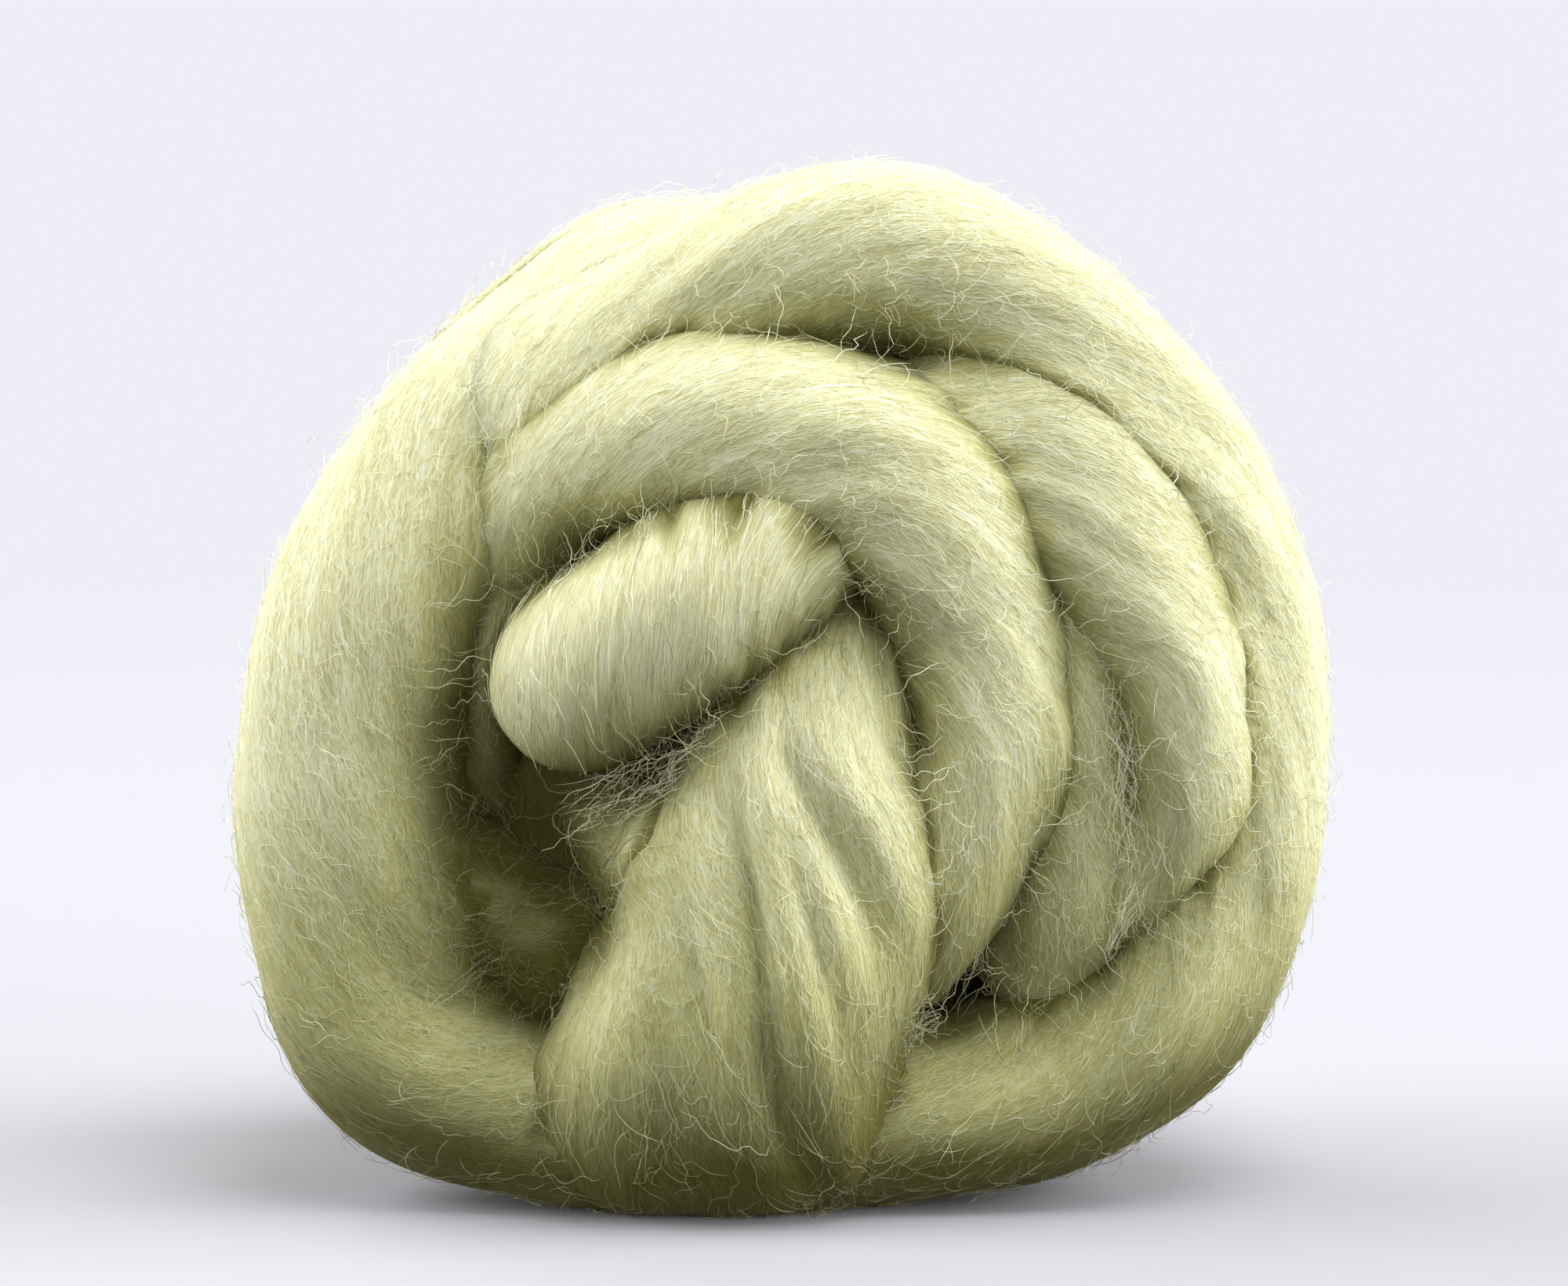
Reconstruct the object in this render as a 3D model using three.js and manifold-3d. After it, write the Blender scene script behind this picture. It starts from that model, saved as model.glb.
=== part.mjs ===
// A length of wool top (combed roving), wound into a thick ball that stands on its edge.
// Millimetres. +X runs across the open face, -Y is the side that face looks to, +Z is up,
// and the ball rests on Z = 0.
//
// The ball is one continuous strand of wool, so it is one solid. Each stretch of the strand below is
// a soft oval section swept along its own path, with the lazy twist of the wool in its ridges, and
// the stretches are joined where they press into each other.
import * as THREE from "three";
import { mergeVertices } from "three/addons/utils/BufferGeometryUtils.js";
import Module from "manifold-3d";

const wasm = await Module();
wasm.setup();

// ---------------------------------------------------------------------------------------------
// Driving sizes
// ---------------------------------------------------------------------------------------------
const TWIST_LENGTH = 233; // length of strand in which its fibres go round it once
const RING_STEP = 8; // distance between two sections along a strand
const SECTION_POINTS = 16; // points round a section
const PLEATED_POINTS = 28; // the same on the pleated tongue
const FULLNESS = 2.25; // 2 is an ellipse, more is nearer to a rounded box
const RIDGES = 3; // locks of wool that stand up from a section
const RIDGE_HEIGHT = 0.035; // their height, as a share of the section's radius
const TONGUE_PLEATS = { level: true, ridges: 7, ridgeHeight: 0.06 };

const HEART = { x: 0, y: 0, z: 66, wide: 50, deep: 22, tall: 45 }; // the packed middle of the ball

// The back of the ball is wound flat: one full turn at the rim, then a spiral into the middle.
const BACK_COIL = {
  centre: { x: 0, z: 61.7 },
  startAngle: -12, // degrees clockwise from the top, seen from the front
  squash: 0.95, // height over width of a turn
  turns: [
    // each stretch winds from one angle to the next
    { to: 340, radius: [54.5, 54], y: [14, 16], wide: 10.8, deep: 15 },
    { to: 640, radius: [54, 34], y: [16, 23], wide: 10.8, deep: 15 },
    { to: 960, radius: [34, 16], y: [23, 27], wide: 10.8, deep: 14 },
    { to: 1180, radius: [16, 4], y: [27, 28], wide: 9.5, deep: 12 },
  ],
};

const COLUMNS = ["x", "y", "z", "wide", "deep"];

// Up the left, over the top, down the right and back along the bottom: the outer turn of the face.
const OUTER_TURN = rows(COLUMNS, [
  [-40, -2, 74, 4, 6],
  [-36.5, -6, 84, 6, 9],
  [-30.5, -9, 95, 7.5, 11],
  [-20.5, -11, 105.5, 8.5, 13],
  [-2, -13, 114.3, 10.8, 15],
  [12.5, -13, 116.4, 11.6, 15],
  [27, -13, 111.5, 11, 15],
  [39.5, -12, 102, 10.7, 15],
  [49.5, -10, 89, 10.7, 15],
  [55.5, -9, 73, 11.2, 15],
  [57.8, -9, 55, 10.8, 15],
  [55.3, -10, 38, 11.2, 15],
  [47.2, -12, 23.6, 11.3, 15],
  [34, -13, 14, 11, 15],
  [18, -14, 11, 11, 15],
  [2, -14, 10.5, 11, 15],
  [-16, -14, 10.5, 10, 13],
]);

// The same strand, up the left side and over the rim to the back.
const LEFT_TURN = rows(COLUMNS, [
  [-2, -14, 10.5, 10, 13],
  [-20, -14, 10.8, 11, 15],
  [-34, -14, 12.5, 11.4, 15],
  [-46, -14, 18, 12.4, 15],
  [-52, -14, 28, 13.4, 15],
  [-54.3, -15, 45, 13.8, 15],
  [-53.8, -15, 57, 13.8, 15],
  [-50.3, -14, 74, 12.8, 15],
  [-43.2, -8, 90, 11.6, 14],
  [-37, -3, 97.3, 11.2, 14],
  [-30, 3, 103, 10.8, 14],
  [-21.5, 8, 109.3, 10.5, 14],
  [-12, 12, 113.3, 10.5, 15],
  [-2, 14, 114.3, 10.5, 15],
]);

// The wide arc that lies on the outer turn, on the right of the face.
const OUTER_ARC = rows(COLUMNS, [
  [12.5, -14, 98.5, 6, 8],
  [22, -17, 97.5, 8, 10],
  [30.5, -19, 93.5, 10, 11],
  [36.5, -20, 87, 10.5, 12],
  [41, -20, 79.5, 10, 12],
  [45.5, -20, 71.5, 9, 12],
  [48, -20, 64, 7.7, 12],
  [48, -18, 50, 6.8, 11],
  [42, -15, 38, 5.5, 9],
  [37.5, -12, 32.5, 4, 6],
]);

// The fold of wool that lies in the groove between the two arcs.
const INNER_FOLD = rows(COLUMNS, [
  [28, -14, 82, 3, 6],
  [32, -17, 76, 5, 8],
  [35, -18, 68.5, 6.3, 10],
  [36, -18, 56, 6.8, 10],
  [35.5, -17, 44, 6.8, 10],
  [34, -16, 37, 7, 10],
  [31.5, -14, 31, 6.8, 9],
  [26.5, -12, 25.5, 6, 8],
]);

// The full round arc that curls about the middle of the face.
const INNER_ARC = rows(COLUMNS, [
  [-39, -10, 75, 4, 6],
  [-34, -13, 82, 5.5, 8],
  [-27, -17, 89, 7.7, 10],
  [-18, -20, 93.5, 10, 12],
  [-9.5, -22, 95.5, 11, 13],
  [0, -23, 94.8, 11.3, 13],
  [8, -23, 92.7, 11.4, 13],
  [14, -23, 88.5, 11.4, 13],
  [19, -23, 81.5, 11, 13],
  [22.5, -22, 73, 10.7, 13],
  [24, -22, 64, 10, 13],
  [24, -22, 56, 10, 13],
  [17.8, -21, 42, 10.4, 13],
  [12.6, -19, 35.5, 10.2, 12],
  [6, -16, 28.8, 9.3, 10],
]);

// The broad tongue that fans out of the middle, hangs down the face and tucks under the ball.
const TONGUE = rows(COLUMNS, [
  [8.5, -14, 77, 4, 6],
  [8.2, -18, 72, 4.5, 8],
  [5, -24, 63, 10, 11],
  [2, -27, 53.5, 14.3, 13],
  [1.5, -28, 44.5, 15.5, 13],
  [-1, -28.5, 35, 18.5, 13],
  [-5.5, -28, 25, 20.3, 13],
  [-9, -26, 15.5, 20, 12],
  [-11.5, -21, 8, 18, 10],
  [-12.5, -12, 5, 13, 7],
]);

// The bun of wool doubled over in the heart of the face.
const BUN = rows(COLUMNS, [
  [-31.5, -22, 60, 9, 10],
  [-27.5, -25, 63.3, 10.6, 12],
  [-22, -27, 67.8, 11.2, 13],
  [-16, -28, 72, 11.2, 13],
  [-10.5, -28, 75.5, 11, 13],
  [-5, -27, 79, 10.3, 12],
  [-0.5, -25, 80.5, 9, 11],
  [3.5, -22, 80, 6.7, 9],
  [6, -18, 78.5, 3.5, 6],
]);

// Small turns that show deep in the hollow at the lower left of the face.
const HOLLOW_LOBE = rows(COLUMNS, [
  [-27, -12, 52, 4, 5],
  [-23.5, -16, 47, 7, 7],
  [-19, -17, 42.5, 8, 8],
  [-13, -17, 40, 7, 7],
]);
const HOLLOW_TURN = rows(COLUMNS, [
  [-45, -9, 36, 5, 6],
  [-35.5, -11, 33.5, 6, 7],
  [-27.5, -12, 31.5, 6, 7],
  [-18, -14, 30, 6, 7],
]);
const HOLLOW_LINING = rows(COLUMNS, [
  [-23, -14, 82, 4, 5],
  [-31, -15, 75, 5, 6],
  [-36, -14, 66.5, 5, 6],
  [-38, -12, 57.5, 5, 6],
  [-36, -6, 49, 4.5, 5],
]);

// ---------------------------------------------------------------------------------------------
// Sweeping a soft section along a strand
// ---------------------------------------------------------------------------------------------
const FACE = new THREE.Vector3(0, -1, 0); // the direction that the open face looks to
const ACROSS = new THREE.Vector3(1, 0, 0);

function rows(names, table) {
  return table.map((values) => Object.fromEntries(names.map((name, i) => [name, values[i]])));
}

// A smooth curve through a table's rows, and another through their section sizes.
function pathOf(table) {
  const spline = (points) => new THREE.CatmullRomCurve3(points, false, "catmullrom", 0.5);
  return {
    centre: spline(table.map((row) => new THREE.Vector3(row.x, row.y, row.z))),
    size: spline(table.map((row) => new THREE.Vector3(row.wide, row.deep, 0))),
  };
}

// Where a section's width points. The strand lies flat against the face of the ball, unless it is
// told to stay level from side to side.
function sideOf(tangent, level) {
  return level
    ? ACROSS.clone().addScaledVector(tangent, -ACROSS.dot(tangent)).normalize()
    : new THREE.Vector3().crossVectors(FACE, tangent).normalize();
}

// How far out a section of full, slightly squared shape reaches at an angle. A circle would be 1.
function fullRadius(angle) {
  const power = (value) => Math.abs(value) ** FULLNESS;
  return (power(Math.cos(angle)) + power(Math.sin(angle))) ** (-1 / FULLNESS);
}

// A closed mesh: rounded ends, and rings of points that turn slowly with the twist of the wool.
// A level strand isn't twisted: its ridges are pleats that run down it.
function sweep(table, { level = false, ridges = RIDGES, ridgeHeight = RIDGE_HEIGHT } = {}) {
  const { centre, size } = pathOf(table);
  const length = centre.getLength();
  const count = Math.max(4, Math.round(length / RING_STEP));
  const points = level ? PLEATED_POINTS : SECTION_POINTS;
  const vertices = [];
  const ring = (at, grow, shift) => {
    const point = centre.getPoint(at);
    const tangent = centre.getTangent(at);
    const side = sideOf(tangent, level);
    const face = new THREE.Vector3().crossVectors(tangent, side).normalize();
    const { x: wide, y: deep } = size.getPoint(at);
    point.addScaledVector(tangent, shift * Math.min(wide, deep));
    const turn = level ? 0 : -(length * at * 2 * Math.PI) / TWIST_LENGTH;
    for (let i = 0; i < points; i++) {
      const angle = (i / points) * 2 * Math.PI + turn;
      const lift = grow * fullRadius(angle) * (1 + ridgeHeight * Math.cos(ridges * (angle - turn)));
      vertices.push(
        point
          .clone()
          .addScaledVector(side, lift * wide * Math.cos(angle))
          .addScaledVector(face, lift * deep * Math.sin(angle)),
      );
    }
  };
  const cap = [0.45, 0.8]; // shares of the end section's size in the rings that round it off
  const capShift = cap.map((share) => Math.sqrt(1 - share * share));
  cap.forEach((share, i) => ring(0, share, -capShift[i]));
  for (let i = 0; i <= count; i++) ring(i / count, 1, 0);
  cap.forEach((_, i) => ring(1, cap[cap.length - 1 - i], capShift[cap.length - 1 - i]));
  return closedTube(vertices, points);
}

// Joins rings of points into one closed surface, with a point in the middle of each end.
function closedTube(vertices, around) {
  const ringCount = vertices.length / around;
  const middle = (from) =>
    vertices
      .slice(from, from + around)
      .reduce((sum, v) => sum.add(v), new THREE.Vector3())
      .divideScalar(around);
  const first = vertices.length;
  const last = first + 1;
  const points = [...vertices, middle(0), middle(first - around)];
  const faces = [];
  for (let i = 0; i < around; i++) {
    const next = (i + 1) % around;
    for (let r = 0; r < ringCount - 1; r++) {
      const a = r * around;
      const b = a + around;
      faces.push(a + i, a + next, b + next, a + i, b + next, b + i);
    }
    faces.push(first, next, i);
    faces.push(last, first - around + i, first - around + next);
  }
  const geometry = new THREE.BufferGeometry().setFromPoints(points);
  geometry.setIndex(faces);
  return geometry;
}

// The rows of one stretch of the coil at the back.
function coilRows({ centre, squash }, from, { to, radius, y, wide, deep }) {
  const stepDegrees = 20;
  const count = Math.round((to - from) / stepDegrees);
  const mix = ([a, b], t) => a + (b - a) * t;
  return Array.from({ length: count + 1 }, (_, i) => {
    const t = i / count;
    const angle = THREE.MathUtils.degToRad(from + (to - from) * t);
    return {
      x: centre.x + mix(radius, t) * Math.sin(angle),
      y: mix(y, t),
      z: centre.z + mix(radius, t) * squash * Math.cos(angle),
      wide,
      deep,
    };
  });
}

// ---------------------------------------------------------------------------------------------
// Solids
// ---------------------------------------------------------------------------------------------
function solid(geometry) {
  const bare = geometry.clone();
  bare.deleteAttribute("normal");
  bare.deleteAttribute("uv");
  const merged = mergeVertices(bare);
  return new wasm.Manifold(
    new wasm.Mesh({
      numProp: 3,
      vertProperties: merged.attributes.position.array,
      triVerts: new Uint32Array(merged.index.array),
    }),
  );
}

function geometryOf(made) {
  const { vertProperties, triVerts } = made.getMesh();
  const geometry = new THREE.BufferGeometry();
  geometry.setAttribute("position", new THREE.BufferAttribute(vertProperties, 3));
  geometry.setIndex(new THREE.BufferAttribute(triVerts, 1));
  geometry.computeVertexNormals();
  return geometry;
}

function heart() {
  const ball = new THREE.SphereGeometry(1, 24, 16);
  ball.scale(HEART.wide, HEART.deep, HEART.tall);
  ball.translate(HEART.x, HEART.y, HEART.z);
  return ball;
}

// Everything under the ground plane, to press the small flat spot that the ball rests on.
function ground() {
  const box = new THREE.BoxGeometry(200, 200, 40);
  box.translate(0, 0, -20);
  return box;
}

function backTurns() {
  let from = BACK_COIL.startAngle;
  return BACK_COIL.turns.map((stretch) => {
    const table = coilRows(BACK_COIL, from, stretch);
    from = stretch.to;
    return sweep(table);
  });
}

function woundRoving() {
  const stretches = [
    sweep(OUTER_TURN),
    sweep(LEFT_TURN),
    sweep(OUTER_ARC),
    sweep(INNER_FOLD),
    sweep(INNER_ARC),
    sweep(BUN),
    sweep(HOLLOW_LOBE),
    sweep(HOLLOW_TURN),
    sweep(HOLLOW_LINING),
    sweep(TONGUE, TONGUE_PLEATS),
    ...backTurns(),
  ];
  const joined = stretches
    .reduce((wool, stretch) => wool.add(solid(stretch)), solid(heart()))
    .subtract(solid(ground()));
  // The largest closed surface is the outside of the ball: the pockets shut up inside it are filled.
  return joined.decompose().reduce((a, b) => (b.volume() > a.volume() ? b : a));
}

const wool = new THREE.MeshStandardMaterial({ color: 0xe6e4c4, roughness: 0.9, metalness: 0 });
const roving = new THREE.Mesh(geometryOf(woundRoving()), wool);
roving.name = "wound_roving";

const part = new THREE.Group();
part.add(roving);
export default part;
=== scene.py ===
"""The looks of a length of wool roving, wound into a ball that stands on its edge.

The long strand is modelled stretch by stretch, along nearly the same paths as the CAD solid. Each
stretch is a skin of soft locks, and single fibres lie combed along it, stray across it, stand off it as
fuzz, bridge its creases, and gather there in wisps and tangles.
"""
import math

import bpy
import numpy as np
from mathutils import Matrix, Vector
from mathutils.bvhtree import BVHTree
from mathutils.kdtree import KDTree


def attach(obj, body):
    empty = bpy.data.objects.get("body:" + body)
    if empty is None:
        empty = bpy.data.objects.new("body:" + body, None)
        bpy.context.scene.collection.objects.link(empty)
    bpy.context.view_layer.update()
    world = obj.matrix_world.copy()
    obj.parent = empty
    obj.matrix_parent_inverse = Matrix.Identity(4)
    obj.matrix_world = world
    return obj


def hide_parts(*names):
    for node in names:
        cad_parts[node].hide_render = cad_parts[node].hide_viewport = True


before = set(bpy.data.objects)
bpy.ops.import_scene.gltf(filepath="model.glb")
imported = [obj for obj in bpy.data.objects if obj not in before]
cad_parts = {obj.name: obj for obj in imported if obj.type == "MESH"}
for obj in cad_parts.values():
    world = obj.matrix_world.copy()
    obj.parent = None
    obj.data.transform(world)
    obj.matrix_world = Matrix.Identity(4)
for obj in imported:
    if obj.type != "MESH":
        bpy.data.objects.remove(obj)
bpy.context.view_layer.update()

NODE = "wound_roving"
BODY = "root"
MM = 0.001

# ---------------------------------------------------------------------------------------------
# The strand's paths, in millimetres: place, half width across the face, half depth into the ball
# ---------------------------------------------------------------------------------------------
# x, y, z, wide, deep
OUTER_TURN = [
    (-40, -2, 74, 4, 6),
    (-36.5, -6, 84, 6, 9),
    (-30.5, -9, 95, 7.5, 11),
    (-20.5, -11, 105.5, 8.5, 13),
    (-2, -13, 114.3, 10.8, 15),
    (12.5, -13, 116.4, 11.6, 15),
    (27, -13, 111.5, 11, 15),
    (39.5, -12, 102, 10.7, 15),
    (49.5, -10, 89, 10.7, 15),
    (55.5, -9, 73, 11.2, 15),
    (57.8, -9, 55, 10.8, 15),
    (55.3, -10, 38, 11.2, 15),
    (47.2, -12, 23.6, 11.3, 15),
    (34, -13, 14, 11, 15),
    (18, -14, 11, 11, 15),
    (2, -14, 10.7, 11, 15),
]
LEFT_TURN = [
    (-20, -14, 10.9, 11, 15),
    (-34, -14, 12.5, 11.4, 15),
    (-46, -14, 18, 12.4, 15),
    (-52, -14, 28, 13.4, 15),
    (-54.3, -15, 45, 13.8, 15),
    (-53.8, -15, 57, 13.8, 15),
    (-50.3, -14, 74, 12.8, 15),
    (-43.2, -8, 90, 11.6, 14),
    (-37, -3, 97.3, 11.2, 14),
    (-30, 3, 103, 10.8, 14),
    (-21.5, 8, 109.3, 10.5, 14),
]
OUTER_ARC = [
    (12.5, -14, 98.5, 6, 8),
    (22, -17, 97.5, 8, 10),
    (30.5, -19, 93.5, 10, 11),
    (36.5, -20, 87, 10.5, 12),
    (41, -20, 79.5, 10, 12),
    (45.5, -20, 71.5, 9, 12),
    (48, -20, 64, 7.7, 12),
    (48, -18, 50, 6.8, 11),
    (42, -15, 38, 5.5, 9),
    (37.5, -12, 32.5, 4, 6),
]
INNER_FOLD = [
    (28, -14, 82, 3, 6),
    (32, -17, 76, 5, 8),
    (35, -18, 68.5, 6.3, 10),
    (36, -18, 56, 6.8, 10),
    (35.5, -17, 44, 6.8, 10),
    (34, -16, 37, 7, 10),
    (31.5, -14, 31, 6.8, 9),
    (26.5, -12, 25.5, 6, 8),
]
INNER_ARC = [
    (-39, -10, 75, 4, 6),
    (-34, -13, 82, 5.5, 8),
    (-27, -17, 89, 7.7, 10),
    (-18, -20, 93.5, 10, 12),
    (-9.5, -22, 95.5, 11, 13),
    (0, -23, 94.8, 11.3, 13),
    (8, -23, 92.7, 11.4, 13),
    (14, -23, 88.5, 11.4, 13),
    (19, -23, 81.5, 11, 13),
    (22.5, -22, 73, 10.7, 13),
    (24, -22, 64, 10, 13),
    (24, -22, 56, 10, 13),
    (17.8, -21, 42, 10.4, 13),
    (12.6, -19, 35.5, 10.2, 12),
    (6, -16, 28.8, 9.3, 10),
]
TONGUE = [
    (8.5, -14, 77, 4, 6),
    (8.2, -18, 72, 4.5, 8),
    (5, -24, 63, 10, 11),
    (2, -27, 53.5, 14.3, 13),
    (1.5, -28, 44.5, 15.5, 13),
    (0.3, -28.5, 35, 17.2, 13),
    (-4, -28, 25, 18.8, 13),
    (-9, -26, 15.5, 20, 12),
    (-11.5, -21, 8, 18, 10),
    (-12.5, -12, 5, 13, 7),
]
BUN = [
    (-31.5, -22, 60, 9, 10),
    (-27.5, -25, 63.3, 10.6, 12),
    (-22, -27, 67.8, 11.2, 13),
    (-16, -28, 72, 11.2, 13),
    (-10.5, -28, 75.5, 11, 13),
    (-5, -27, 79, 10.3, 12),
    (-0.5, -25, 80.5, 9, 11),
    (3.5, -22, 80, 6.7, 9),
    (6, -18, 78.5, 3.5, 6),
]
HOLLOW_LOBE = [
    (-27, -12, 50, 3, 4),
    (-22, -17, 48, 6, 7),
    (-16, -20, 45, 8, 9),
    (-11, -23, 43, 9, 10),
    (-6, -25, 41, 9, 10),
]
HOLLOW_TURN = [
    (-46, -8, 42, 6, 6),
    (-38, -10, 37, 7.5, 7),
    (-29, -12, 32, 8, 8),
    (-20, -15, 28, 8, 8),
]
HOLLOW_LINING = [
    (-23, -14, 82, 4, 5),
    (-31, -15, 75, 5, 6),
    (-36, -14, 66.5, 5, 6),
    (-38, -12, 57.5, 5, 6),
    (-36, -6, 49, 4.5, 5),
]
HEART = {"centre": (0, 0, 66), "half": (50, 22, 45)}

# Places where one stretch runs softly into the next: x, y, z, how far round them, and how much of the
# painted shade they lose
SOFT_JOINS = [
    (-35, -12, 102, 14, 0.6),
    (-36, -13, 86, 11, 0.7),
    (-38, -12, 36, 11, 0.0),
    (-20, -20, 36, 9, 0.0),
    (-13, -30, 45, 8, 0.2),
    (-21, 18, 113, 10, 0.8),
]

# Folds pressed into the front of a strand: how deep (raised where negative), how wide, and x, z along it
FOLDS = {
    "tongue": [
        (2.8, 1.3, [(-7, 55), (-5.1, 45.7), (-3.5, 35.4), (-1.8, 21.5), (0.4, 9)]),
        (-0.9, 1.6, [(-4, 54), (-1.6, 42), (0.6, 30), (2.8, 14)]),
        (2.4, 1.5, [(-1.5, 60), (4.6, 51.5), (9.6, 42), (13, 32)]),
        (-0.9, 2.0, [(3, 60), (8.3, 51), (12.4, 42), (15, 33)]),
        (1.8, 1.1, [(-2, 54), (1.8, 43.9), (4.6, 35), (7, 26), (8.2, 17)]),
        (1.2, 1.0, [(-12, 47), (-11.5, 38), (-9.5, 28), (-7.5, 16)]),
        (1.8, 3.5, [(-12, 33), (-14, 22), (-14, 8)]),
    ],
}


def back_coil():
    """The flat coil at the back: once round the rim, then a spiral into the middle."""
    centre_z, squash, step = 61.7, 0.95, 20
    # from and to: degrees clockwise from the top. Then radius, y, wide and deep at both ends.
    stretches = [
        (-12, 340, (54.5, 54), (14, 16), (10.5, 10.8), (15, 15)),
        (340, 640, (54, 34), (16, 23), (10.8, 10.8), (15, 15)),
        (640, 960, (34, 16), (23, 27), (10.8, 10.8), (14, 14)),
        (960, 1180, (16, 4), (27, 28), (10.2, 9.5), (13, 12)),
    ]
    rows = []
    for start, end, radii, ys, wides, deeps in stretches:
        count = round((end - start) / step)
        for i in range(count):
            share = i / count
            radius, y, wide, deep = (a + (b - a) * share for a, b in (radii, ys, wides, deeps))
            angle = math.radians(start + (end - start) * share)
            x, z = radius * math.sin(angle), centre_z + radius * squash * math.cos(angle)
            rows.append((x, y, z, wide, deep))
    return rows


# ---------------------------------------------------------------------------------------------
# Noise with a fixed seed
# ---------------------------------------------------------------------------------------------
LATTICE = 32
LATTICE_VALUES = np.random.default_rng(7).uniform(-1, 1, (LATTICE,) * 3)


def smooth_noise(points):
    """Values from -1 to 1 that change smoothly over a distance of 1. points is an array of (..., 3)."""
    base = np.floor(points).astype(int)
    part = points - base
    part = part * part * (3 - 2 * part)
    total = np.zeros(points.shape[:-1])
    for corner in np.ndindex(2, 2, 2):
        at = (base + corner) % LATTICE
        share = np.prod(np.where(corner, part, 1 - part), axis=-1)
        total += share * LATTICE_VALUES[at[..., 0], at[..., 1], at[..., 2]]
    return total


def layered_noise(points, octaves):
    return sum(smooth_noise(points * 2**i + 5.3 * i) / 2**i for i in range(octaves))


# ---------------------------------------------------------------------------------------------
# A strand: a soft section swept along a path, in lanes that follow its fibres
# ---------------------------------------------------------------------------------------------
FACE = np.array((0.0, -1.0, 0.0))
ACROSS = np.array((1.0, 0.0, 0.0))
FULLNESS = 2.25            # the power of the section's curve: 2 is an ellipse, more is boxier
CURVE_STEPS = 60           # steps along a path for each of its rows, to measure its length
RING_STEP = 1.45
LANE_WIDTH = 1.3
FLOOR_CLEARANCE = 0.05
COMBINGS = (-13, 1, 14)    # degrees between the lanes and the fibres of each layer of the skin
FILLET = 7.5               # mm from a crease over which wool fills it out
SOFT_FILLET = 19.0         # the same at a soft join
BURIED = -0.6              # mm to the nearest other strand, below which a place is hidden inside it
FOLD_STEPS = 25            # points along a fold
NOISE_SHIFT = 17.0         # between the noise of one strand and the next, so that none repeats another
COMBING_SHIFT = 40.0       # the same for the fibres of the skin, in mm


def unit(vectors):
    return vectors / np.maximum(np.linalg.norm(vectors, axis=-1, keepdims=True), 1e-12)


def catmull_rom(rows, places):
    """The curve through rows, at places from 0 to 1."""
    rows = np.asarray(rows, float)
    padded = np.vstack([2 * rows[0] - rows[1], rows, 2 * rows[-1] - rows[-2]])
    at = np.clip(places, 0, 1) * (len(rows) - 1)
    i = np.minimum(at.astype(int), len(rows) - 2)
    t = (at - i)[:, None]
    a, b, c, d = (padded[i + k] for k in range(4))
    return 0.5 * (2 * b + (c - a) * t + (2 * a - 5 * b + 4 * c - d) * t**2 + (3 * b - a - 3 * c + d) * t**3)


def tube_faces(rings, lanes):
    """Quads between the rings of a tube, and triangles round the two last points, which close its ends."""
    index = np.arange(rings * lanes).reshape(rings, lanes)
    right = np.roll(index, -1, axis=1)
    quads = np.stack([index[:-1], right[:-1], right[1:], index[1:]], axis=-1).reshape(-1, 4)
    start = np.stack([np.full(lanes, index.size), right[0], index[0]], axis=-1)
    end = np.stack([np.full(lanes, index.size + 1), index[-1], right[-1]], axis=-1)
    return [quads, np.vstack([start, end])]


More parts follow.
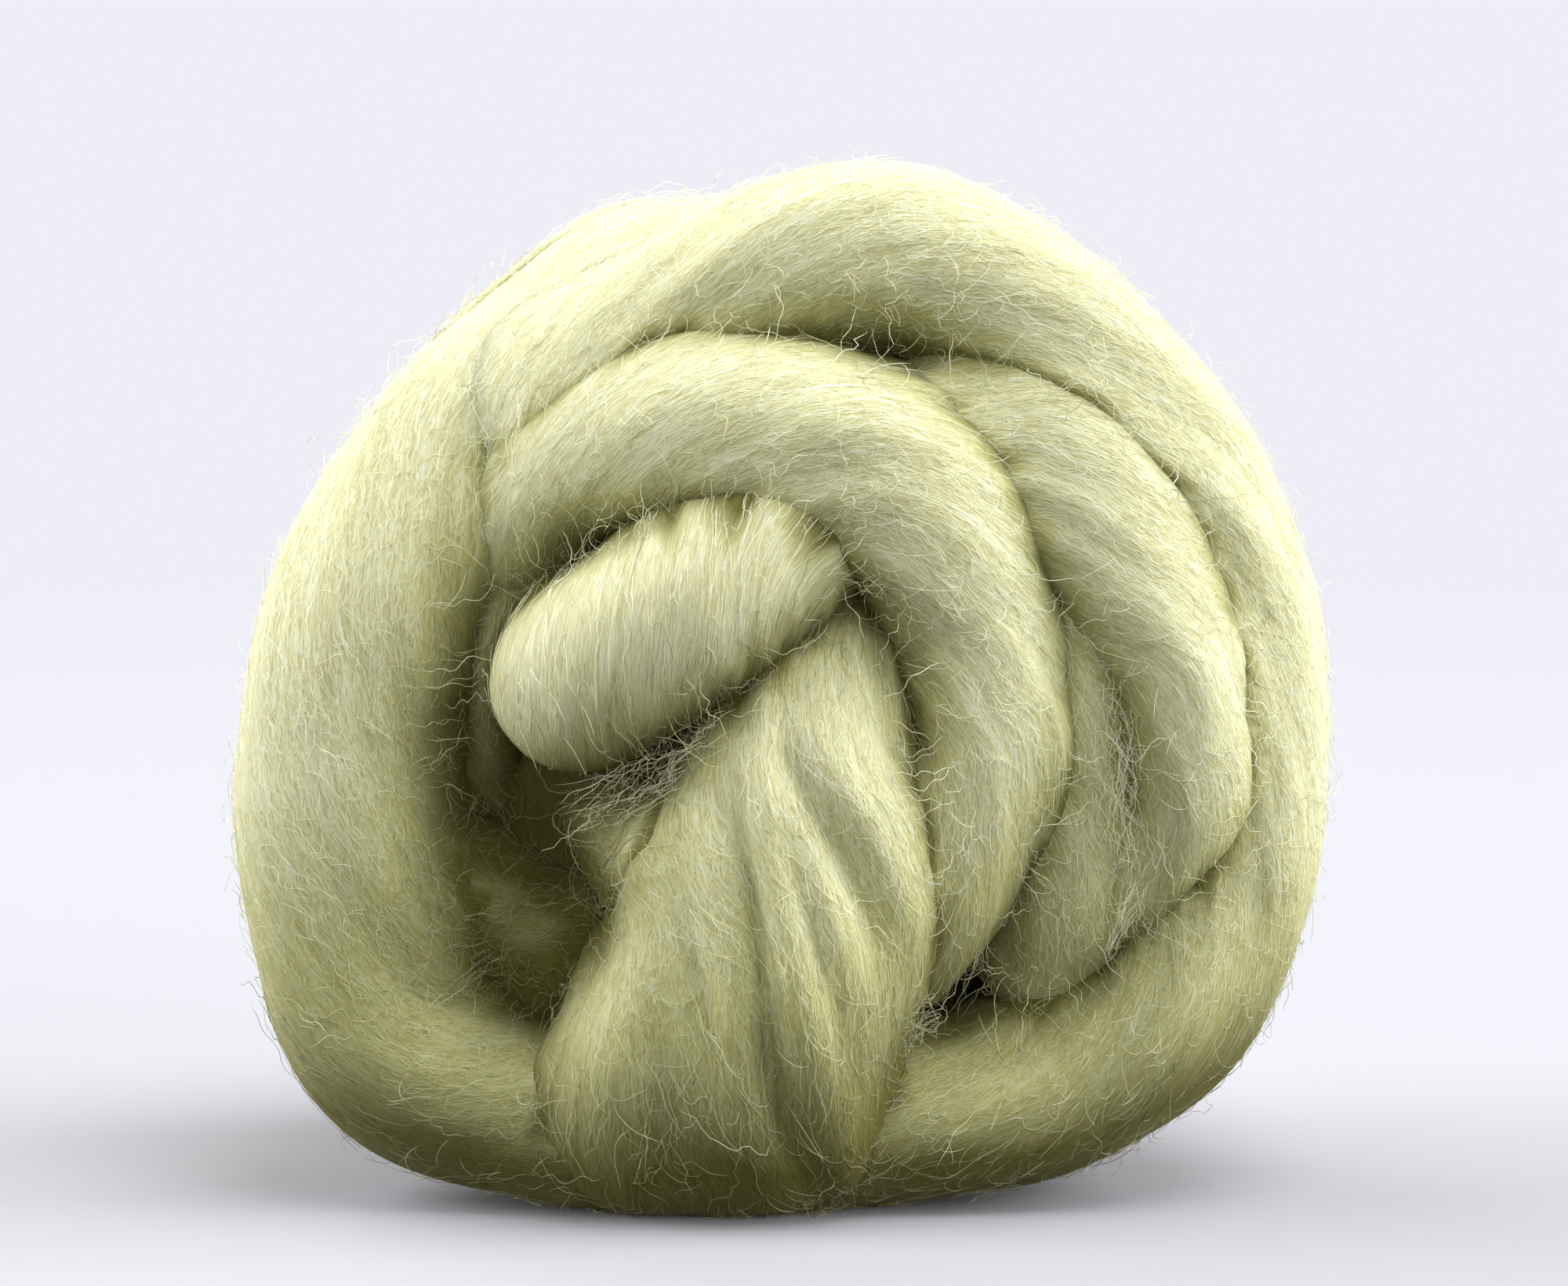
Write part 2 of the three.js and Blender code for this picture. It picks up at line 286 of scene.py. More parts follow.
class Strand:
    """One stretch of the roving. Its grid has a ring of points every RING_STEP, and lanes along the fibres.

    twist_length is the length in mm over which its fibres go round once, and level keeps its width level.
    locks and pleats are how far its skin stands out in mm, tip is the length of its round ends for a radius
    of 1, and shade is how strongly the painted shade from shelter darkens its colour.
    """

    def __init__(
        self, name, rows, seed, twist_length=233.0, level=False, locks=0.7, pleats=0.0, tip=0.9, shade=1.0
    ):
        self.name, self.seed, self.shade = name, seed, shade
        dense = catmull_rom(rows, np.linspace(0, 1, CURVE_STEPS * len(rows)))
        steps = np.linalg.norm(np.diff(dense[:, :3], axis=0), axis=1)
        along = np.concatenate([[0], np.cumsum(steps)])
        self.length = along[-1]
        self.rings = int(self.length / RING_STEP) + 1
        self.at = np.linspace(0, self.length, self.rings)
        even = np.stack([np.interp(self.at, along, dense[:, k]) for k in range(5)], axis=1)
        self.centre, self.wide, self.deep = even[:, :3], even[:, 3], even[:, 4]
        self.tangent = unit(np.gradient(self.centre, axis=0))
        if level:
            self.side = unit(ACROSS - self.tangent * (self.tangent @ ACROSS)[:, None])
        else:
            self.side = unit(np.cross(FACE, self.tangent))
        self.face = unit(np.cross(self.tangent, self.side))
        self.radius = float(np.mean((self.wide + self.deep) / 2))
        self.lanes = int(2 * math.pi * self.radius / LANE_WIDTH)
        self.turn = 2 * math.pi / twist_length

        lane = np.arange(self.lanes) / self.lanes * 2 * math.pi
        angle = lane[None, :] - self.turn * self.at[:, None]
        cos, sin = np.cos(angle), np.sin(angle)
        full = (np.abs(cos) ** FULLNESS + np.abs(sin) ** FULLNESS) ** (-1 / FULLNESS)
        edge = np.clip(np.minimum(self.at, self.length - self.at) / (tip * self.radius), 0, 1)[:, None]
        full = full * np.sqrt(np.maximum(1 - (1 - edge) ** 2, 0.0004))
        wide, deep = self.wide[:, None], self.deep[:, None]
        side, face = self.side[:, None], self.face[:, None]
        out = side * (wide * cos * full)[..., None] + face * (deep * sin * full)[..., None]
        normal = unit(side * (cos / wide)[..., None] + face * (sin / deep)[..., None])
        self.combings = [self.combing(lane, slant) for slant in COMBINGS]
        lift = self.relief(locks, pleats, lane) * edge
        self.normal = normal
        self.points = self.centre[:, None] + out + normal * lift[..., None]
        self.raise_skin(-self.folds())

    def combing(self, lane, slant):
        """Where each point lies among fibres that run at a slant to the lanes, in degrees: two
        coordinates round the strand and one along it."""
        drift = lane[None, :] + math.tan(math.radians(slant)) * self.at[:, None] / self.radius
        along = np.broadcast_to(self.at[:, None], drift.shape)
        return np.stack([self.radius * np.cos(drift), self.radius * np.sin(drift), along], axis=-1)

    def relief(self, locks, pleats, lane):
        """How far the skin stands out: broad locks, narrow ones, lumps, and pleats on the tongue."""
        space, shift = self.combing(lane, 0), NOISE_SHIFT * self.seed
        broad = smooth_noise(space / (6.0, 6.0, 60.0) + shift)
        narrow = layered_noise(space / (2.4, 2.4, 32.0) + shift, 2)
        lumps = smooth_noise(space / (11.0, 11.0, 16.0) + shift + 9)
        lift = locks * (broad + 0.45 * narrow + 0.8 * lumps)
        if pleats:
            lift = lift + pleats * np.cos(7 * lane + 0.9 * np.sin(2 * lane))[None, :]
        return lift

    def folds(self):
        """How deep the strand's own folds press into its front."""
        flat = self.points[..., (0, 2)]
        depth = np.zeros(flat.shape[:2])
        for deep, wide, line in FOLDS.get(self.name, ()):
            fine = catmull_rom(line, np.linspace(0, 1, FOLD_STEPS))
            away = np.linalg.norm(flat[..., None, :] - fine, axis=-1)
            fade = 1 - np.abs(np.linspace(-1, 1, FOLD_STEPS)) ** 4
            depth += deep * (fade * np.exp(-((away / wide) ** 2) / 2)).max(axis=-1)
        return depth * np.clip(-2 * self.normal[..., 1], 0, 1)

    def fill_creases(self):
        """Wool that fills out the creases beside other strands, more of it at the soft joins."""
        soft = np.zeros(self.gap.shape)
        # the share of the painted shade that each place loses near the soft joins
        self.light = np.zeros(self.gap.shape)
        for *place, reach, lost in SOFT_JOINS:
            near = np.exp(-((np.linalg.norm(self.points - place, axis=-1) / reach) ** 2))
            soft = np.maximum(soft, near)
            self.light = np.maximum(self.light, lost * near)
        fillet = FILLET + (SOFT_FILLET - FILLET) * soft
        self.raise_skin(fillet / 4 * (1 - np.clip(self.gap / fillet, 0, 1)) ** 2)

    def raise_skin(self, lift):
        self.points = self.points + self.normal * lift[..., None]
        self.points[..., 2] = np.maximum(self.points[..., 2], FLOOR_CLEARANCE)

    def sample(self, at, lane, grid):
        """A value of the grid at a distance along the strand, in mm, and a lane angle."""
        row = np.clip(at / self.length * (self.rings - 1), 0, self.rings - 1.001)
        column = (lane / (2 * math.pi) * self.lanes) % self.lanes
        i, j = row.astype(int), column.astype(int) % self.lanes
        u, v = (row - i)[..., None], (column - np.floor(column))[..., None]
        k = (j + 1) % self.lanes
        near = grid[i, j] * (1 - v) + grid[i, k] * v
        far = grid[i + 1, j] * (1 - v) + grid[i + 1, k] * v
        return near * (1 - u) + far * u

    def surface(self, at, lane):
        return self.sample(at, lane, self.points), unit(self.sample(at, lane, self.normal))

    # the strength of the painted shade at places on the skin
    def shelter_at(self, at, lane):
        return self.sample(at, lane, self.shelter[..., None])[:, 0]

    def with_ends(self, grid):
        """The grid's values as a list, and those of a point in the middle of each end."""
        return np.concatenate([grid.reshape(-1, *grid.shape[2:]), grid[:1].mean(1), grid[-1:].mean(1)])

    def faces(self):
        return tube_faces(self.rings, self.lanes)


class Neighbours:
    """The sections of all strands, to measure how far a point is from the strands beside its own."""

    SPACING = 2          # every second ring is enough
    OWN_STRETCH = 45.0   # mm of its own strand on either side that a point doesn't count as beside it
    FAR = 30.0           # mm past which distances don't count
    BATCH = 2000         # points measured at a time

    def __init__(self, strands):
        def gather(values):
            return np.concatenate([values(strand)[:: self.SPACING] for strand in strands])

        self.centre = gather(lambda strand: strand.centre)
        self.axes = [gather(lambda strand, k=k: getattr(strand, k)) for k in ("side", "face", "tangent")]
        self.wide = gather(lambda strand: strand.wide)
        self.deep = gather(lambda strand: strand.deep)
        self.at = gather(lambda strand: strand.at)
        self.owner = gather(lambda strand: np.full(strand.rings, strand.seed))

    def distance(self, points, at, owner):
        """Millimetres from each point to the nearest other strand, negative inside it."""
        nearest = np.empty(len(points))
        for start in range(0, len(points), self.BATCH):
            part = slice(start, start + self.BATCH)
            nearest[part] = self.batch_distance(points[part], at[part], owner)
        return nearest

    def batch_distance(self, points, at, owner):
        away = points[:, None] - self.centre[None]
        across, out, along = (np.abs(np.einsum("pqk,qk->pq", away, axis)) for axis in self.axes)
        full = ((across / self.wide) ** 2 + (out / self.deep) ** 2) ** 0.5
        beside = (full - 1) * (self.wide + self.deep) / 2
        beyond = np.maximum(along - 0.5 * self.SPACING * RING_STEP, 0)
        distance = np.where(beside > 0, np.hypot(beside, beyond), np.maximum(beside, -self.FAR) + beyond)
        own = (self.owner[None] == owner) & (np.abs(self.at[None] - at[:, None]) < self.OWN_STRETCH)
        return np.where(own, self.FAR, distance).min(axis=1)


# ---------------------------------------------------------------------------------------------
# Shelter: how much of what a point faces is blocked nearby, by wool or by the ground; it sets the painted
# shade in the colour
# ---------------------------------------------------------------------------------------------
WOOL_REACH = 45.0           # mm within which wool counts as blocking
GROUND_REACH = 75.0         # and the ground, so the painted shade deepens near the floor
SHELTER_RAYS = 36
RAY_START = 0.5             # mm off the skin
SHELTER_STRIDE = (3, 2)     # it is worked out at every third ring and every second lane
BLOCKED_IN_THE_OPEN = 0.08  # share of the rays that a point in the open may have blocked
BLOCKED_IN_THE_DEEP = 0.70


def hemisphere(count):
    """Directions spread over a hemisphere round Z, thicker towards Z as light counts for more there."""
    i = np.arange(count) + 0.5
    flat = np.sqrt(i / count)
    turn = i * math.pi * (3 - math.sqrt(5))
    return np.stack([flat * np.cos(turn), flat * np.sin(turn), np.sqrt(1 - flat**2)], axis=-1)


def tree_of(strands):
    points, faces, start = [], [], 0
    for strand in strands:
        points.append(strand.with_ends(strand.points))
        for group in strand.faces():
            faces.extend((group + start).tolist())
        start += len(points[-1])
    return BVHTree.FromPolygons(np.concatenate(points).tolist(), faces)


def shelter_of(strand, tree):
    """The strength of the painted shade, from 0 in the open to 1 in the deepest places, at each point of
    the strand's grid.
    """
    directions = hemisphere(SHELTER_RAYS)
    ring_stride, lane_stride = SHELTER_STRIDE
    rows = np.minimum(np.arange(0, strand.rings + ring_stride - 1, ring_stride), strand.rings - 1)
    columns = np.arange(0, strand.lanes, lane_stride)
    blocked = np.zeros((len(rows), len(columns)))
    for a, row in enumerate(rows):
        for b, column in enumerate(columns):
            normal = strand.normal[row, column]
            one = unit(np.cross(normal, (0.3, 0.5, 0.81)))
            rays = directions @ np.stack([one, np.cross(normal, one), normal])
            origin = Vector(strand.points[row, column] + RAY_START * normal)
            hits = 0
            for ray in rays.tolist():
                ground = ray[2] < 0 and -origin.z / ray[2] < GROUND_REACH
                hits += ground or tree.ray_cast(origin, ray, WOOL_REACH)[0] is not None
            blocked[a, b] = hits / SHELTER_RAYS
    every_ring, every_lane = np.arange(strand.rings), np.arange(strand.lanes)
    along = np.stack([np.interp(every_ring, rows, column) for column in blocked.T], axis=1)
    wrapped = np.concatenate([along, along[:, :1]], axis=1)
    places = np.append(columns, strand.lanes)
    full = np.stack([np.interp(every_lane, places, ring) for ring in wrapped])
    return np.clip((full - BLOCKED_IN_THE_OPEN) / (BLOCKED_IN_THE_DEEP - BLOCKED_IN_THE_OPEN), 0, 1)


def build_mesh(name, points, faces_by_size, combings=(), shelter=None):
    """A mesh from arrays, in mm, of quads and triangles."""
    loops = np.concatenate([faces.ravel() for faces in faces_by_size])
    sizes = np.concatenate([np.full(len(faces), faces.shape[1]) for faces in faces_by_size])
    mesh = bpy.data.meshes.new(name)
    mesh.vertices.add(len(points))
    mesh.vertices.foreach_set("co", (points * MM).astype(np.float32).ravel())
    mesh.loops.add(len(loops))
    mesh.loops.foreach_set("vertex_index", loops.astype(np.int32))
    mesh.polygons.add(len(sizes))
    mesh.polygons.foreach_set("loop_start", (np.cumsum(sizes) - sizes).astype(np.int32))
    mesh.polygons.foreach_set("use_smooth", np.ones(len(sizes), bool))
    mesh.update(calc_edges=True)
    mesh.validate()
    for i, space in enumerate(combings, start=1):
        attribute = mesh.attributes.new(f"combing_{i}", "FLOAT_VECTOR", "POINT")
        attribute.data.foreach_set("vector", (space * MM).astype(np.float32).ravel())
    # the strength of the painted shade at each point, read by the materials
    if shelter is not None:
        attribute = mesh.attributes.new("shelter", "FLOAT", "POINT")
        attribute.data.foreach_set("value", shelter.astype(np.float32))
    piece = bpy.data.objects.new(name, mesh)
    bpy.context.scene.collection.objects.link(piece)
    return piece


def dress(piece, material):
    piece.data.materials.append(material)
    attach(piece, BODY)
    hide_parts(NODE)
    return piece


# ---------------------------------------------------------------------------------------------
# Fibres
# ---------------------------------------------------------------------------------------------
def fibre_mesh(name, paths, thickness, shelter):
    """Closed three-sided spindles along paths, an array of (fibres, points, 3) in mm."""
    count, rings = paths.shape[:2]
    along = unit(np.gradient(paths, axis=1))
    helper = np.where(np.abs(along[..., 2:3]) < 0.8, (0.0, 0.0, 1.0), (1.0, 0.0, 0.0))
    one = unit(np.cross(along, helper))
    two = np.cross(along, one)
    t = np.linspace(0, 1, rings)
    taper = np.minimum(1, 4 * np.minimum(t, 1 - t) + 0.25)
    half = thickness[:, None] * taper[None, :] / 2
    corners = []
    for corner in range(3):
        angle = 2 * math.pi * corner / 3
        corners.append(paths + (one * math.cos(angle) + two * math.sin(angle)) * half[..., None])
    body = np.stack(corners, axis=2)[:, 1:-1]
    inner = rings - 2
    per_fibre = inner * 3 + 2
    points = np.concatenate([body.reshape(count, -1, 3), paths[:, :1], paths[:, -1:]], axis=1)
    offset = (np.arange(count) * per_fibre)[:, None, None]
    faces = [(group + offset).reshape(-1, group.shape[1]) for group in tube_faces(inner, 3)]
    return build_mesh(name, points.reshape(-1, 3), faces, shelter=np.repeat(shelter, per_fibre))


# Lengths, thicknesses and wavelengths of the crimp, in mm, from and to
COMBED_LENGTH, COMBED_THICKNESS, COMBED_CRIMP = (5, 10), (0.06, 0.095), (2.8, 5.5)
STRAY_LENGTH, STRAY_THICKNESS = (5, 12), (0.065, 0.115)
FUZZ_LENGTH, FUZZ_THICKNESS = (2, 5), (0.06, 0.1)
BRIDGE_THICKNESS = (0.06, 0.11)
TANGLE_THICKNESS = (0.05, 0.085)
WISP_LENGTH, WISP_THICKNESS, WISP_CRIMP = (5, 12), (0.07, 0.1), (2.2, 5)
CRIMP = (2.2, 4.5)
RIPPLE = (2.5, 5)    # wavelength of the waves off the skin
SWAY = (8, 20)       # wavelength of a bridge's slow bends

FIBRE_CLEARANCE = 0.1
BACK_SHARE = 0.5     # fibres at the back of the ball, for one at the front
OPEN_SHARE = 0.35    # stray fibres out in the open, for one beside a crease
CREASE_REACH = 3.5   # mm over which the hair beside a crease thins out


def scatter(strand, rng, count, seek_creases=False):
    """Random places on a strand that other strands don't bury, fewer at the back of the ball."""
    at = rng.uniform(0, strand.length, 2 * count)
    lane = rng.uniform(0, 2 * math.pi, 2 * count)
    place, normal = strand.surface(at, lane)
    facing = np.clip(0.5 - 0.9 * normal[:, 1] - 0.012 * place[:, 1], 0, 1)
    chance = BACK_SHARE + (1 - BACK_SHARE) * facing
    gap = strand.sample(at, lane, strand.gap[..., None])[:, 0]
    chance[gap < BURIED] = 0
    if seek_creases:
        chance *= OPEN_SHARE + (1 - OPEN_SHARE) * np.exp(-np.maximum(gap, 0) / CREASE_REACH)
    keep = rng.uniform(0, 1, 2 * count) < chance
    return at[keep][:count], lane[keep][:count]


def waves(rng, distance, length, amplitude):
    """A crimp: two sines of unlike wavelength. distance is an array of (fibres, points)."""
    total = np.zeros_like(distance)
    for share in (1.0, 0.6):
        wavelength = rng.uniform(*length, len(distance))[:, None]
        phase = rng.uniform(0, 1, len(distance))[:, None]
        total += share * np.sin(2 * math.pi * (distance / wavelength + phase))
    return total * rng.uniform(*amplitude, len(distance))[:, None]


def wander(strand, at, lane, heading, step):
    """Points on the skin, and their normals, along walks that start at (at, lane) and turn with heading."""
    places = np.clip(at[:, None] + np.cumsum(np.cos(heading) * step, axis=1), 0.5, strand.length - 0.5)
    lanes = lane[:, None] + np.cumsum(np.sin(heading) * step, axis=1) / strand.radius
    return strand.surface(places, lanes)


def combed(strand, rng, count, rings=9):
    """Short crimped lengths of fibre that lie along the lanes, with their ends tucked in."""
    at, lane = scatter(strand, rng, count)
    n = len(at)
    length = rng.uniform(*COMBED_LENGTH, n)[:, None]
    t = np.linspace(0, 1, rings)[None, :]
    distance = t * length
    heading = rng.normal(0.03, 0.28, n)[:, None] + rng.normal(0, 0.05, n)[:, None] * distance
    heading = heading + waves(rng, distance, COMBED_CRIMP, (0.15, 0.55))
    point, normal = wander(strand, at, lane, heading, length / (rings - 1))
    top = rng.gamma(2.0, 0.13, n)[:, None]
    height = top * np.sin(math.pi * t) - 0.25 * (2 * t - 1) ** 4
    path = point + normal * height[..., None]
    return path, rng.uniform(*COMBED_THICKNESS, n), strand.shelter_at(at, lane)


def strays(strand, rng, count, rings=16):
    """Crimped hairs that have worked loose and lie across the others, thickest beside the creases."""
    at, lane = scatter(strand, rng, count, seek_creases=True)
    n = len(at)
    length = rng.uniform(*STRAY_LENGTH, n)[:, None]
    t = np.linspace(0, 1, rings)[None, :]
    distance = t * length
    heading = rng.normal(0, 0.8, n)[:, None] + rng.normal(0, 0.13, n)[:, None] * distance
    heading = heading + waves(rng, distance, CRIMP, (0.3, 0.8))
    point, normal = wander(strand, at, lane, heading, length / (rings - 1))
    lift = rng.gamma(1.5, 0.5, n)[:, None]
    free = (rng.uniform(0, 1, n) < 0.5)[:, None]
    rise = np.where(free, lift * 1.8 * t**1.3, lift * np.sin(math.pi * t) ** 0.8)
    ripple = waves(rng, distance, RIPPLE, (0.05, 0.3)) * np.sin(math.pi * t)
    height = np.clip(rise + ripple, -0.1, 5.0) - 0.12
    path = point + normal * height[..., None]
    return path, rng.uniform(*STRAY_THICKNESS, n), strand.shelter_at(at, lane)


def fuzz(strand, rng, count, rings=7):
    """Short curled ends that stand off the skin and soften its edge."""
    at, lane = scatter(strand, rng, count)
    n = len(at)
    length = rng.uniform(*FUZZ_LENGTH, n)[:, None]
    t = np.linspace(0, 1, rings)[None, :]
    distance = t * length
    heading = rng.normal(0, 0.9, n)[:, None] + rng.normal(0, 0.5, n)[:, None] * distance
    point, normal = wander(strand, at, lane, heading, length / (rings - 1))
    rise = rng.uniform(0.1, 0.55, n)[:, None] * length
    height = rise * (t - 0.35 * t**2) / 0.65 - 0.1
    path = point + normal * height[..., None]
    return path, rng.uniform(*FUZZ_THICKNESS, n), strand.shelter_at(at, lane)


CANDIDATES = 14          # places for a bridge's end, for each mm of strand
BRIDGE_SPAN = (2.5, 10)  # mm between its ends, at least and at most
BRIDGE_SLACK = 1.3       # its length along the crimp, for a span of 1
OVERHANG = 0.125         # how far it runs on past both places, for a span of 1


def bridge_ends(strands, rng):
    """Places on the skins where a bridge may start or end, with their normals, strands and shelter."""
    places, normals, owners, shelters = [], [], [], []
    for owner, strand in enumerate(strands):
        n = int(strand.length * CANDIDATES)
        at, lane = rng.uniform(2, strand.length - 2, n), rng.uniform(0, 2 * math.pi, n)
        point, normal = strand.surface(at, lane)
        outer = (normal[:, 1] < 0.35) & (point[:, 1] < 12)
        places.append(point[outer])
        normals.append(normal[outer])
        owners.append(np.full(outer.sum(), owner))
        # the painted shade at each end, which the bridge between them takes
        shelters.append(strand.shelter_at(at, lane)[outer])
    return [np.concatenate(values) for values in (places, normals, owners, shelters)]


def bridge_pairs(places, normals, owners, rng, count):
    """Pairs of places on neighbouring strands that face more or less the same way."""
    shortest, longest = BRIDGE_SPAN
    tree = KDTree(len(places))
    for i, place in enumerate(places):
        tree.insert(Vector(place), i)
    tree.balance()
    pairs = []
    for i in rng.permutation(len(places)):
        around = tree.find_range(Vector(places[i]), longest)
        near = [k for _, k, distance in around if owners[k] != owners[i] and distance > shortest]
        if near:
            k = near[rng.integers(len(near))]
            if np.dot(normals[i], normals[k]) > -0.3:
                pairs.append((i, k))
        if len(pairs) >= count:
            break
    return np.array(pairs).T


def bridges(strands, rng, count, rings=16):
    """Crimped hairs across the creases, from one stretch of the strand to the next."""
    places, normals, owners, shelters = bridge_ends(strands, rng)
    start, end = bridge_pairs(places, normals, owners, rng, count)
    n = len(start)
    t = np.linspace(0, 1, rings)[None, :]
    outward = unit(normals[start] + normals[end] + 0.5 * FACE)[:, None]
    chord = (places[end] - places[start])[:, None]
    sideways = unit(np.cross(chord, outward))
    span = np.linalg.norm(chord, axis=-1)
    distance = t * span * BRIDGE_SLACK
    held = np.sin(math.pi * t) ** 0.5
    bow = rng.uniform(0.1, 0.45, n)[:, None] * span * np.sin(math.pi * t)
    bow = bow + held * waves(rng, distance, RIPPLE, (0.05, 0.3)) - 0.2
    swing = held * (waves(rng, distance, CRIMP, (0.1, 0.4)) + waves(rng, distance, SWAY, (0.2, 1.2)))
    path = places[start][:, None] + chord * ((1 + 2 * OVERHANG) * t - OVERHANG)[..., None]
    path = path + outward * bow[..., None] + sideways * swing[..., None]
    return path, rng.uniform(*BRIDGE_THICKNESS, n), (shelters[start] + shelters[end]) / 2


# Tangled knots of loose hair: x, y, z, radius, and how many hairs
TANGLES = [
    (10.5, -34, 79, 3.2, 9),
    (-13, -30, 56, 5, 16),
    (-9, -33, 60, 4, 12),
    (-20, -27, 50, 5, 14),
    (-13, -33, 44, 4, 16),
    (-16, -33, 85, 3.2, 14),
    (-21, -31, 80, 3.2, 12),
    (15.5, -32, 25, 3.2, 14),
    (40, -28, 72, 3.5, 12),
    (43, -27, 62, 3.5, 12),
    (45, -26, 50, 3.5, 10),
]
# painted shade given to every tangled hair
TANGLE_PAINTED_SHADE = 0.55


def tangles(rng, rings=24):
    """Loose curls in the creases, each a length of smooth wandering loops."""
    paths = []
    t = np.linspace(0, 1, rings)[None, :]
    for x, y, z, radius, count in TANGLES:
        start = rng.normal(0, 0.5, (count, 1, 3)) * radius
        drift = rng.normal(0, 0.6, (count, 1, 3)) * radius * (t - 0.5)[..., None]
        loops = np.zeros((count, rings, 3))
        for cycles, size in ((1.2, 0.45), (2.6, 0.16)):
            phase = rng.uniform(0, 1, (count, 1, 3))
            turns = cycles * rng.uniform(0.6, 1.4, (count, 1, 3)) * t[..., None]
            loops += size * radius * np.sin(2 * math.pi * (turns + phase))
        paths.append(np.array((x, y, z)) + (start + drift + loops) * (1, 0.6, 1))
    paths = np.concatenate(paths)
    return paths, rng.uniform(*TANGLE_THICKNESS, len(paths)), np.full(len(paths), TANGLE_PAINTED_SHADE)


# Loose wisps along a crease: from and to, how far they spread, and how many hairs
WISPS = [
    ((35, -27, 80), (42, -27, 66), 1.8, 60),
    ((39, -28, 70), (42, -27, 44), 2.2, 150),
    ((44, -26, 46), (38, -25, 32), 2.0, 60),
    ((-24, -29, 49), (-4, -36, 62), 2.4, 60),
]
# painted shade given to every wisp
WISP_PAINTED_SHADE = 0.12


def wisps(rng, rings=12):
    """Crimped hairs that lie loosely side by side along a crease."""
    paths = []
    t = np.linspace(0, 1, rings)[None, :]
    for start, end, spread, count in WISPS:
        start, way = np.array(start, float), np.subtract(end, start).astype(float)
        span = np.linalg.norm(way)
        length = rng.uniform(*WISP_LENGTH, (count, 1))
        first = rng.uniform(-2, np.maximum(span - length + 2, 0))
        along = first + t * length
        lean = rng.normal(0, 0.22, (count, 1, 3)) * (along - first - length / 2)[..., None]
        offset = rng.normal(0, 1, (count, 1, 3)) * spread
        crimp = np.stack([waves(rng, t * length, WISP_CRIMP, (0.1, 0.4)) for _ in range(3)], axis=-1)
        side = (offset + lean + crimp) * (1, 0.45, 0.6)
        paths.append(start + way / span * along[..., None] + side)
    paths = np.concatenate(paths)
    return paths, rng.uniform(*WISP_THICKNESS, len(paths)), np.full(len(paths), WISP_PAINTED_SHADE)


# ---------------------------------------------------------------------------------------------
# Materials
# ---------------------------------------------------------------------------------------------
WOOL_LIGHT = (0.96, 0.96, 0.81, 1)
WOOL_MID = (0.85, 0.845, 0.53, 1)
WOOL_DEEP = (0.63, 0.615, 0.32, 1)
FIBRE_LIGHT = (1.0, 1.0, 0.87, 1)
FIBRE_DEEP = (0.88, 0.87, 0.58, 1)
FIBRE_PAINTED_GLOW = 0.13    # painted glow: emission that stands in for the light a thin fibre passes on from behind
# painted shade: what the colour is multiplied by, darker and warmer from the open to the deepest shelter
PAINTED_SHADE_COLOURS = [(0.0, (1, 1, 1, 1)), (1.0, (0.20, 0.19, 0.07, 1)), (0.35, (0.73, 0.73, 0.56, 1))]


def new_tree(owner):
    """The node tree of a material or world, emptied."""
    owner.use_nodes = True
    owner.node_tree.nodes.clear()
    return owner.node_tree


def add_node(tree, kind, inputs=(), **settings):
    """A node with these settings. inputs has a value, or the output that feeds it, for each input."""
    node = tree.nodes.new("ShaderNode" + kind)
    for name, value in settings.items():
        setattr(node, name, value)
    for name, value in dict(inputs).items():
        if isinstance(value, bpy.types.NodeSocket):
            tree.links.new(value, node.inputs[name])
        else:
            node.inputs[name].default_value = value
    return node


def scaled(tree, source, scale):
    inputs = {"Vector": source, "Scale": scale}
    return add_node(tree, "Mapping", inputs, vector_type="POINT").outputs["Vector"]


def noise_of(tree, vector, detail):
    inputs = {"Vector": vector, "Scale": 1.0, "Detail": detail, "Roughness": 0.6}
    return add_node(tree, "TexNoise", inputs).outputs["Fac"]


def ramp_of(tree, factor, stops):
    node = add_node(tree, "ValToRGB", {"Fac": factor})
    ramp = node.color_ramp
    for i, (place, colour) in enumerate(stops):
        stop = ramp.elements[i] if i < 2 else ramp.elements.new(place)
        stop.position = place
        stop.color = colour
    return node.outputs["Color"]


def math_of(tree, operation, *values):
    return add_node(tree, "Math", enumerate(values), operation=operation).outputs[0]


def vector_math_of(tree, operation, *values):
    return add_node(tree, "VectorMath", enumerate(values), operation=operation).outputs["Vector"]


def attribute_of(tree, name, output):
    return add_node(tree, "Attribute", attribute_name=name).outputs[output]


def with_painted_shade(tree, colour):
    """The colour with painted shade: darker and warmer where other wool shelters it."""
    shade = ramp_of(tree, attribute_of(tree, "shelter", "Fac"), PAINTED_SHADE_COLOURS)
    inputs = {"Factor": 1.0, "A": colour, "B": shade}
    return add_node(tree, "Mix", inputs, data_type="RGBA", blend_type="MULTIPLY").outputs["Result"]


def combing_of(tree, index, crimp):
    """The place among one combing's fibres, bent by the crimp."""
    return vector_math_of(tree, "ADD", attribute_of(tree, f"combing_{index}", "Vector"), crimp)


def crimp_of(tree):
    """A small offset that wanders from place to place, so that fibres aren't straight."""
    space = attribute_of(tree, "combing_2", "Vector")
    noise = add_node(tree, "TexNoise", {"Vector": space, "Scale": 340, "Detail": 2})
    centred = vector_math_of(tree, "SUBTRACT", noise.outputs["Color"], (0.5, 0.5, 0.5))
    return vector_math_of(tree, "MULTIPLY", centred, (0.0013, 0.0013, 0.0))


